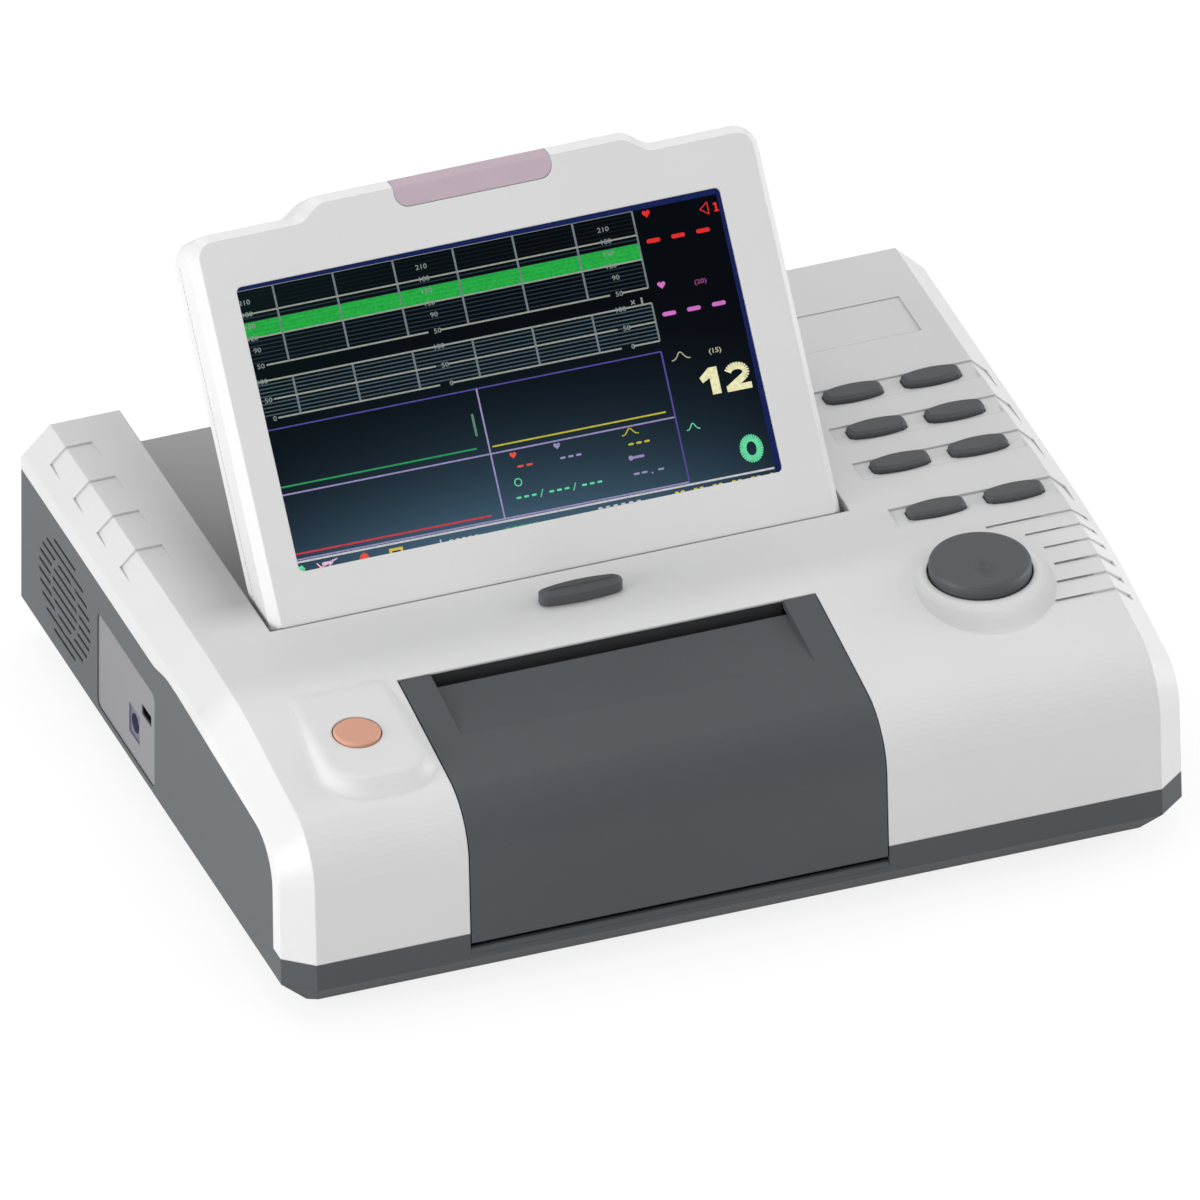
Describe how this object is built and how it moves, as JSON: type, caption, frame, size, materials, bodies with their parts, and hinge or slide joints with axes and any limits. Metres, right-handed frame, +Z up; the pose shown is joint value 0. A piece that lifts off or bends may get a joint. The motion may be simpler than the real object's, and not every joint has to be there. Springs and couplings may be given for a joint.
{
  "type": "cardiotocograph",
  "caption": "Desk-top fetal monitor: low white and grey body, tilting screen, strip printer behind a hinged front door, soft keys and a rotary knob.",
  "frame": {"origin": "on the table, under the middle of the body", "axes": "+X to the user's right, +Y to the back, +Z up"},
  "size_m": [0.34, 0.271, 0.2004],
  "materials": {
    "white_plastic": "fine satin grain, white",
    "grey_plastic": "fine satin grain, slate grey",
    "dark_plastic": "matte, near black",
    "plate_plastic": "matte, light grey",
    "rubber": "matte",
    "steel": "bare sheet and turned steel",
    "brass": "turned",
    "gear_plastic": "moulded acetal",
    "circuit_board": "solder resist",
    "black_plastic": "matte",
    "ceramic": "glazed ceramic on an aluminium carrier",
    "battery_wrap": "shrink film",
    "button_orange": "smooth, pale orange",
    "screen_film": "smooth, lit from behind",
    "lamp_lens": "frosted lens"
  },
  "bodies": {
    "body": {"base_tray": "grey_plastic", "rubber_feet": "rubber", "base_screws": "steel", "port_panel": "plate_plastic", "port_board": "circuit_board", "dc_jack": "black_plastic", "usb_socket": "steel", "loudspeaker": "black_plastic", "probe_sockets": "plate_plastic", "main_board": "circuit_board", "battery_pack": "battery_wrap", "top_cover": "white_plastic", "paper_tray": "dark_plastic", "door_pins": "steel", "paper_cutter": "dark_plastic", "printer_frame": "steel", "idler_axle": "steel", "stepper_motor": "steel", "print_head": "ceramic", "head_springs": "steel", "latch_spring": "steel", "power_switch": "black_plastic", "keypad_board": "circuit_board", "encoder_body": "steel", "hinge_posts": "dark_plastic", "bay_bumpers": "rubber"},
    "screen": {"display_frame": "white_plastic", "display_back": "white_plastic", "display_screws": "steel", "lcd_panel": "steel", "screen_pane": "screen_film", "alarm_lamp": "lamp_lens", "display_board": "circuit_board", "hinge_pins": "steel"},
    "door": {"printer_door": "grey_plastic", "door_catches": "grey_plastic", "door_paper_guide": "dark_plastic"},
    "latch": {"latch_slider": "grey_plastic"},
    "platen": {"platen_roller": "rubber", "platen_shaft": "steel", "platen_gear": "gear_plastic"},
    "idler": {"idler_gear": "gear_plastic"},
    "motor_pinion": {"motor_gear": "brass"},
    "power": {"power_button": "button_orange"},
    "sleeve": {"encoder_sleeve": "brass"},
    "knob_body": {"knob_hub": "grey_plastic", "knob": "grey_plastic"},
    "key_1_body": {"key_1": "grey_plastic"},
    "key_2_body": {"key_2": "grey_plastic"},
    "key_3_body": {"key_3": "grey_plastic"},
    "key_4_body": {"key_4": "grey_plastic"},
    "key_5_body": {"key_5": "grey_plastic"},
    "key_6_body": {"key_6": "grey_plastic"},
    "key_7_body": {"key_7": "grey_plastic"},
    "key_8_body": {"key_8": "grey_plastic"}
  },
  "joints": [
    {"name": "screen_tilt", "type": "hinge", "parent": "body", "child": "screen", "pos_m": [-0.02413, -0.00393, 0.08828], "axis": [1, 0, 0], "range_deg": [-51.3, 38.7]},
    {"name": "printer_door_hinge", "type": "hinge", "parent": "body", "child": "door", "pos_m": [-0.02245, -0.129, 0.025], "axis": [1, 0, 0], "range_deg": [0, 75]},
    {"name": "door_latch_slide", "type": "slide", "parent": "body", "child": "latch", "axis": [0, 1, 0], "range_m": [0, 0.003], "stiffness_N_per_m": 400, "springref_m": -0.002, "deforming": ["latch_spring"]},
    {"name": "platen_spin", "type": "hinge", "parent": "body", "child": "platen", "pos_m": [0, -0.05, 0.0725], "axis": [1, 0, 0], "continuous": true},
    {"name": "idler_spin", "type": "hinge", "parent": "body", "child": "idler", "pos_m": [0, -0.05431, 0.04808], "axis": [1, 0, 0], "continuous": true},
    {"name": "motor_spin", "type": "hinge", "parent": "body", "child": "motor_pinion", "pos_m": [0, -0.03727, 0.03615], "axis": [1, 0, 0], "continuous": true},
    {"name": "power_press", "type": "slide", "parent": "body", "child": "power", "axis": [0, 0, -1], "range_m": [0, 0.0015], "stiffness_N_per_m": 500, "springref_m": -0.001},
    {"name": "key_1_press", "type": "slide", "parent": "body", "child": "key_1_body", "axis": [0, 0, -1], "range_m": [0, 0.001], "stiffness_N_per_m": 600, "springref_m": -0.001},
    {"name": "key_2_press", "type": "slide", "parent": "body", "child": "key_2_body", "axis": [0, 0, -1], "range_m": [0, 0.001], "stiffness_N_per_m": 600, "springref_m": -0.001},
    {"name": "key_3_press", "type": "slide", "parent": "body", "child": "key_3_body", "axis": [0, 0, -1], "range_m": [0, 0.001], "stiffness_N_per_m": 600, "springref_m": -0.001},
    {"name": "key_4_press", "type": "slide", "parent": "body", "child": "key_4_body", "axis": [0, 0, -1], "range_m": [0, 0.001], "stiffness_N_per_m": 600, "springref_m": -0.001},
    {"name": "key_5_press", "type": "slide", "parent": "body", "child": "key_5_body", "axis": [0, 0, -1], "range_m": [0, 0.001], "stiffness_N_per_m": 600, "springref_m": -0.001},
    {"name": "key_6_press", "type": "slide", "parent": "body", "child": "key_6_body", "axis": [0, 0, -1], "range_m": [0, 0.001], "stiffness_N_per_m": 600, "springref_m": -0.001},
    {"name": "key_7_press", "type": "slide", "parent": "body", "child": "key_7_body", "axis": [0, 0, -1], "range_m": [0, 0.001], "stiffness_N_per_m": 600, "springref_m": -0.001},
    {"name": "key_8_press", "type": "slide", "parent": "body", "child": "key_8_body", "axis": [0, 0, -1], "range_m": [0, 0.001], "stiffness_N_per_m": 600, "springref_m": -0.001},
    {"name": "knob_press", "type": "slide", "parent": "body", "child": "sleeve", "axis": [0, 0, -1], "range_m": [0, 0.0009], "stiffness_N_per_m": 900, "springref_m": -0.001},
    {"name": "knob_turn", "type": "hinge", "parent": "sleeve", "child": "knob_body", "pos_m": [0.1158, -0.0682, 0.084], "axis": [0, 0, 1], "continuous": true}
  ],
  "couplings": [
    {"joint": "idler_spin", "follows": "platen_spin", "ratio": -0.55},
    {"joint": "motor_spin", "follows": "platen_spin", "ratio": 1.8333}
  ]
}
